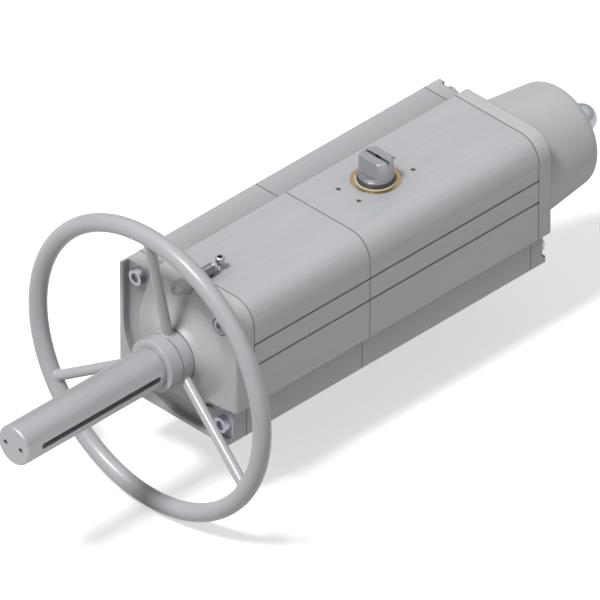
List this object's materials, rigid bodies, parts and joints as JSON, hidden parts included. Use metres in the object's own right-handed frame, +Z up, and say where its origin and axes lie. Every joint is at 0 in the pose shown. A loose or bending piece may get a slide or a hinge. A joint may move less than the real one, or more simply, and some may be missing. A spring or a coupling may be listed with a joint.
{
  "type": "pneumatic quarter-turn actuator",
  "caption": "Spring-return rack and pinion quarter-turn actuator with a dished handwheel override, a slotted spindle tube and a valve flange underneath",
  "frame": {"origin": "Centre of the valve flange face under the rear body section, on the output shaft's axis", "axes": "+X along the cylinder from the handwheel towards the spring can, +Y towards the air ports' face, +Z up the output shaft, away from the valve"},
  "size_m": [0.8535, 0.35, 0.35],
  "materials": {
    "housing_aluminium": "natural anodised extrusion, fine satin grain along its length",
    "cast_caps": "pale grey powder coat over an aluminium casting",
    "zinc_steel": "bright zinc plated steel",
    "machined_steel": "turned and ground steel",
    "spring_steel": "dark phosphated spring steel",
    "bronze": "turned bearing bronze",
    "bearing_plastic": "off-white bearing plastic",
    "seal_rubber": "black nitrile rubber",
    "piston_aluminium": "machined cast aluminium",
    "rack_steel": "milled steel",
    "wheel_paint": "pale grey paint on welded steel",
    "tube_steel": "drawn steel tube, plated",
    "marker_paint": "orange enamel"
  },
  "bodies": {
    "housing": {"front_cap": "cast_caps", "front_cylinder": "housing_aluminium", "rear_housing": "housing_aluminium", "rear_cap": "cast_caps", "spring_can": "cast_caps", "can_cap_nut": "zinc_steel", "stop_rod": "machined_steel", "tie_bolts": "zinc_steel", "tie_nuts": "zinc_steel", "front_seal": "seal_rubber", "mid_seal": "seal_rubber", "rear_seal": "seal_rubber", "upper_bush": "bronze", "upper_seal": "seal_rubber", "top_washer": "bearing_plastic", "inner_washer": "bearing_plastic", "lower_bush": "bronze", "lower_seal": "seal_rubber", "lower_circlip": "spring_steel", "rest_stop_ring": "spring_steel", "locking_screw": "zinc_steel", "adjuster_stud": "zinc_steel", "front_bearing": "machined_steel", "rear_bearing": "machined_steel", "bearing_retainer": "machined_steel", "spindle_guide": "bronze", "wiper_seal": "seal_rubber", "rack_guide": "bearing_plastic", "spring_seat": "machined_steel", "main_spring": "spring_steel"},
    "shaft": {"output_shaft": "machined_steel", "shaft_circlip": "spring_steel"},
    "rack_unit": {"left_piston": "piston_aluminium", "right_piston": "piston_aluminium", "rack_bar": "rack_steel", "left_rack_screws": "zinc_steel", "right_rack_screws": "zinc_steel", "piston_seal": "seal_rubber", "left_guide_ring": "bearing_plastic", "right_guide_ring": "bearing_plastic", "thrust_button": "machined_steel"},
    "handwheel": {"drive_nut": "bronze", "hub_key": "machined_steel", "wheel_hub": "wheel_paint", "hub_lock_ring": "machined_steel", "wheel_spokes": "wheel_paint", "wheel_rim": "wheel_paint", "hub_collar": "wheel_paint", "collar_screw": "zinc_steel", "protective_tube": "tube_steel"},
    "spindle": {"spindle": "machined_steel", "spindle_pad": "machined_steel", "position_ring": "marker_paint"}
  },
  "joints": [
    {"name": "rack_slide", "type": "slide", "parent": "housing", "child": "rack_unit", "axis": [1, 0, 0], "range_m": [0, 0.04712], "stiffness_N_per_m": 20000, "springref_m": -0.03, "deforming": ["main_spring"]},
    {"name": "shaft_turn", "type": "hinge", "parent": "housing", "child": "shaft", "pos_m": [0, 0, 0.0964], "axis": [0, 0, 1], "range_deg": [-90.01, 0]},
    {"name": "handwheel_turn", "type": "hinge", "parent": "housing", "child": "handwheel", "pos_m": [-0.3, 0, 0.0964], "axis": [1, 0, 0], "range_deg": [0, 7200]},
    {"name": "spindle_slide", "type": "slide", "parent": "housing", "child": "spindle", "axis": [1, 0, 0], "range_m": [0, 0.1001]}
  ],
  "couplings": [
    {"joint": "shaft_turn", "follows": "rack_slide", "rad_per_m": -33.333},
    {"joint": "spindle_slide", "follows": "handwheel_turn", "m_per_rad": 0.00079577}
  ]
}
